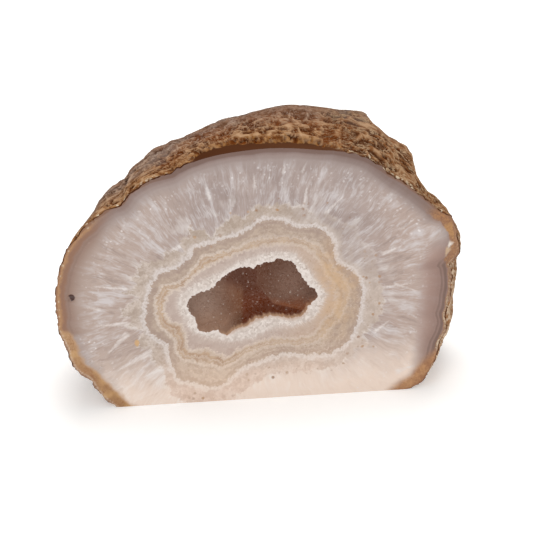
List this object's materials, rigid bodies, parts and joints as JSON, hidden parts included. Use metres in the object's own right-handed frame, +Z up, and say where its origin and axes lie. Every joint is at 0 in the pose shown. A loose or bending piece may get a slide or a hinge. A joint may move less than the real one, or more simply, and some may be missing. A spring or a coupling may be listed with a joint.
{
  "type": "cut-base agate",
  "caption": "Half agate nodule standing on a sawn base, with a polished banded face, a rough rind behind and a hollow lined with small quartz crystals.",
  "frame": {"origin": "middle of the bounding box, on the sawn base that the stone stands on", "axes": "+X along the width of the polished face, +Y from the polished face towards the rind at the back, +Z up"},
  "size_m": [0.1146, 0.0528, 0.0763],
  "materials": {
    "agate": "polished grey-mauve banded face, rough brown rind behind",
    "quartz": "small clear quartz crystals, white at the mouth and red-brown inside"
  },
  "bodies": {
    "root": {"agate_stone": "agate", "crystal_crust": "quartz"}
  },
  "joints": []
}
